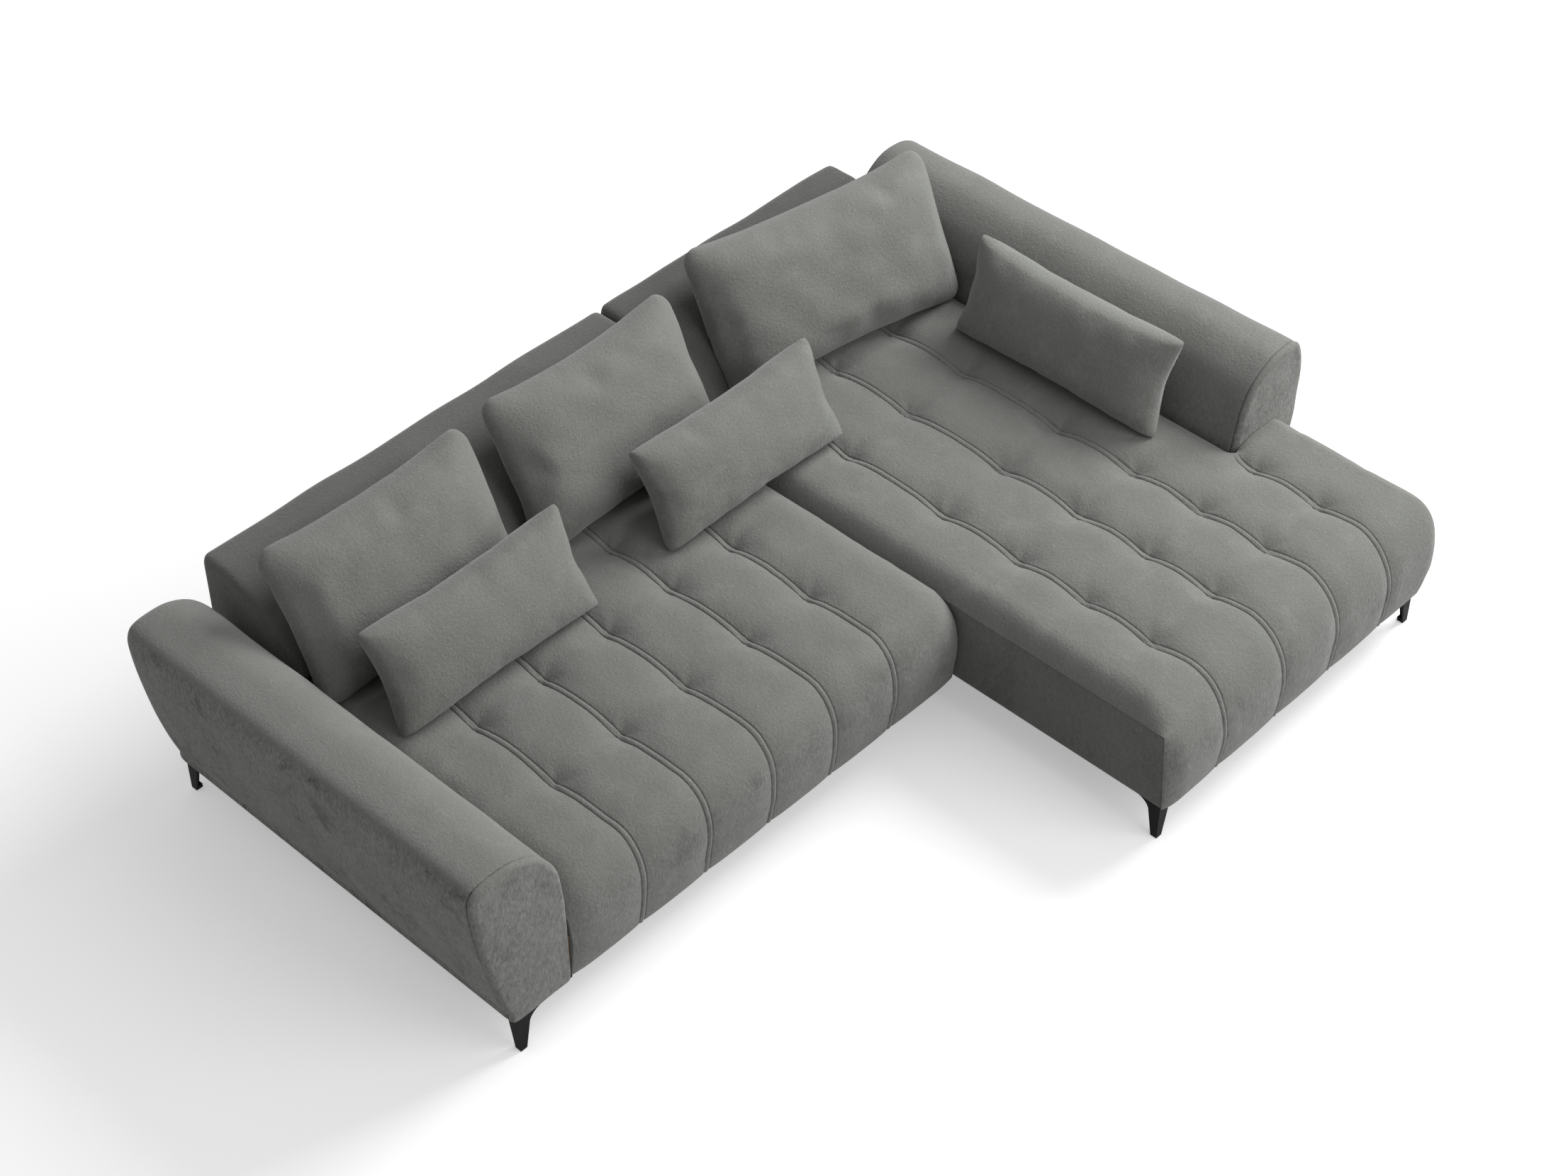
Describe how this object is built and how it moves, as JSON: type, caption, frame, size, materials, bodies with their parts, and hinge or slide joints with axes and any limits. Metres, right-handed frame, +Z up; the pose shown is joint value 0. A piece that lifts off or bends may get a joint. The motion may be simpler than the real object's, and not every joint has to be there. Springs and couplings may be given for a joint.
{
  "type": "corner sofa",
  "caption": "L-shaped corner sofa with channelled, tufted seats, a chaise end, rolled arms, loose back cushions and lumbar pillows on pressed metal corner legs.",
  "frame": {"origin": "on the floor, under the middle of the overall width and depth", "axes": "+X runs along the back towards the chaise end, +Y points from the sitter to the back, +Z is up"},
  "size_m": [2.867, 2.01, 0.8161],
  "materials": {
    "grey_velvet": "short-pile chenille velvet",
    "timber": "sawn softwood",
    "plywood": "raw plywood",
    "leg_black_metal": "satin black",
    "foot_black_plastic": "matt",
    "felt": "pressed felt",
    "dust_cloth": "non-woven cloth",
    "zinc_steel": "zinc plated"
  },
  "bodies": {
    "sofa": {"left_seat_pad": "grey_velvet", "chaise_seat_pad": "grey_velvet", "chaise_side_boxing": "grey_velvet", "left_arm_pad": "grey_velvet", "left_arm_facing": "grey_velvet", "right_arm_pad": "grey_velvet", "right_arm_facing": "grey_velvet", "left_backrest_pad": "grey_velvet", "right_backrest_pad": "grey_velvet", "left_front_rail": "timber", "left_rear_rail": "timber", "left_cross_rails": "timber", "chaise_front_rail": "timber", "chaise_rear_rail": "timber", "chaise_left_rail": "timber", "chaise_right_rail": "timber", "chaise_cross_rails": "timber", "chaise_wing_frame": "timber", "left_corner_blocks": "timber", "chaise_corner_blocks": "timber", "left_seat_springs": "zinc_steel", "chaise_seat_springs": "zinc_steel", "left_dust_cover": "dust_cloth", "chaise_dust_cover": "dust_cloth", "left_arm_base_rail": "timber", "left_arm_board": "plywood", "left_arm_top_rail": "timber", "right_arm_base_rail": "timber", "right_arm_board": "plywood", "right_arm_top_rail": "timber", "left_back_board": "plywood", "left_back_rails": "timber", "right_back_board": "plywood", "right_back_rails": "timber", "leg_front_left": "leg_black_metal", "leg_rear_left": "leg_black_metal", "leg_chaise_left": "leg_black_metal", "leg_chaise_right": "leg_black_metal", "leg_rear_right": "leg_black_metal", "inner_foot_1": "foot_black_plastic", "inner_foot_2": "foot_black_plastic", "inner_foot_3": "foot_black_plastic", "inner_foot_4": "foot_black_plastic", "leg_screws": "zinc_steel", "felt_glides": "felt", "module_link_plates": "zinc_steel", "link_screws": "zinc_steel"},
    "back_cushion_left": {"back_cushion_left": "grey_velvet"},
    "back_cushion_middle": {"back_cushion_middle": "grey_velvet"},
    "back_cushion_right": {"back_cushion_right": "grey_velvet"},
    "lumbar_pillow_left": {"lumbar_pillow_left": "grey_velvet"},
    "lumbar_pillow_middle": {"lumbar_pillow_middle": "grey_velvet"},
    "lumbar_pillow_arm": {"lumbar_pillow_arm": "grey_velvet"}
  },
  "joints": [
    {"name": "back_cushion_left_lift", "type": "slide", "parent": "sofa", "child": "back_cushion_left", "axis": [0, 0.4695, 0.8829], "range_m": [0, 0.5]},
    {"name": "back_cushion_middle_lift", "type": "slide", "parent": "sofa", "child": "back_cushion_middle", "axis": [0, 0.4695, 0.8829], "range_m": [0, 0.5]},
    {"name": "back_cushion_right_lift", "type": "slide", "parent": "sofa", "child": "back_cushion_right", "axis": [0.0775, 0.463, 0.8829], "range_m": [0, 0.5]},
    {"name": "lumbar_pillow_left_lift", "type": "slide", "parent": "sofa", "child": "lumbar_pillow_left", "axis": [0, 0, 1], "range_m": [0, 0.5]},
    {"name": "lumbar_pillow_middle_lift", "type": "slide", "parent": "sofa", "child": "lumbar_pillow_middle", "axis": [0, 0, 1], "range_m": [0, 0.5]},
    {"name": "lumbar_pillow_arm_lift", "type": "slide", "parent": "sofa", "child": "lumbar_pillow_arm", "axis": [0, 0, 1], "range_m": [0, 0.5]}
  ]
}
